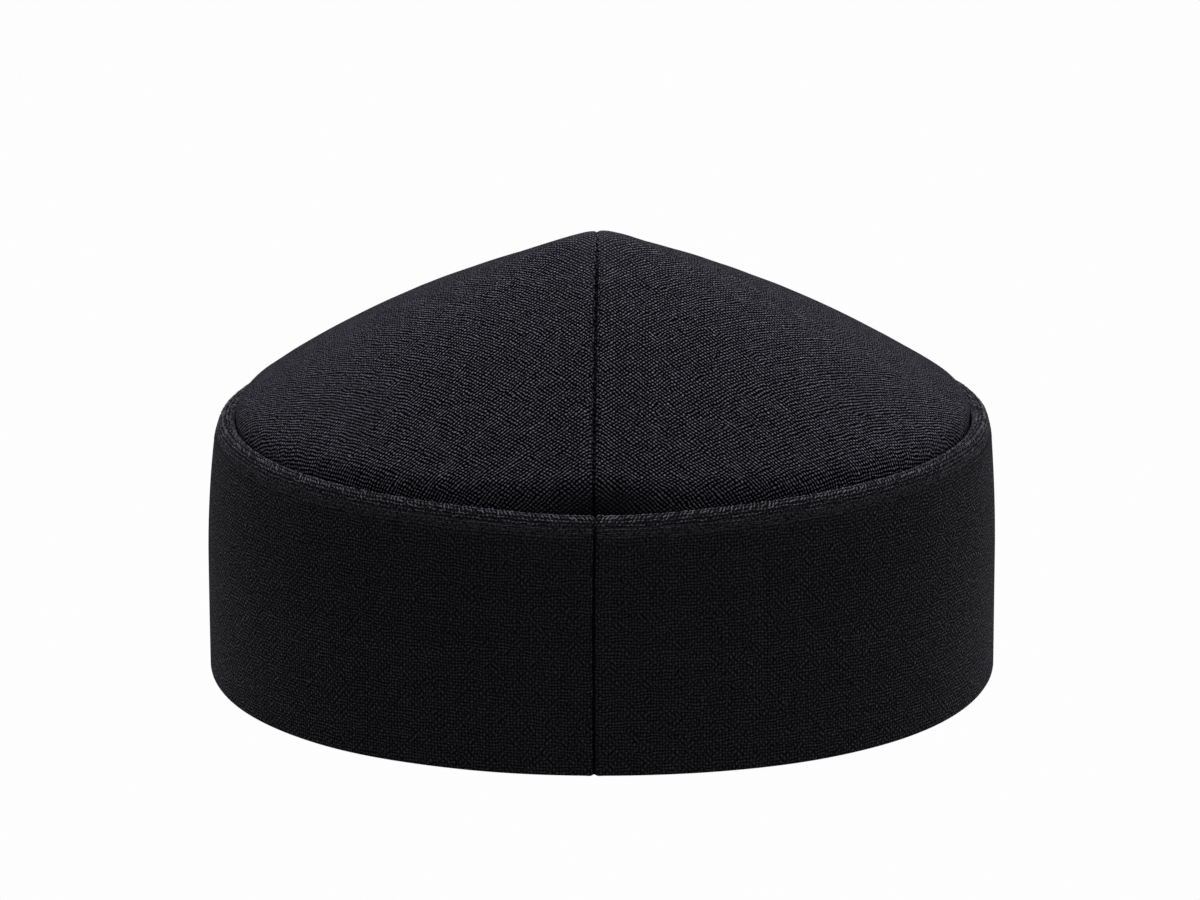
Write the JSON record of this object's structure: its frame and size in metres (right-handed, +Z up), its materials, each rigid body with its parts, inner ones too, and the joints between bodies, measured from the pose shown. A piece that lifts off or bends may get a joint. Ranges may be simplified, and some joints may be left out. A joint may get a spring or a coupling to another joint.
{
  "type": "kufi cap",
  "caption": "Stiff round brimless cap with a tall folded side band and a pointed crown of panels seamed from front to back, worn on the head.",
  "frame": {"origin": "centre of the ring that the cap rests on, at the foot of the side band", "axes": "+Z up through the point of the crown, -Y towards the front with the band's seam, +X to the right seen from the front"},
  "size_m": [0.19, 0.19, 0.1054],
  "materials": {
    "band_cloth": "matt black plain weave, pressed smooth over a stiff band",
    "crown_cloth": "matt black plain weave with a faint grey sheen"
  },
  "bodies": {
    "root": {"side_band": "band_cloth", "crown_panel_left": "crown_cloth", "crown_panel_right": "crown_cloth"}
  },
  "joints": []
}
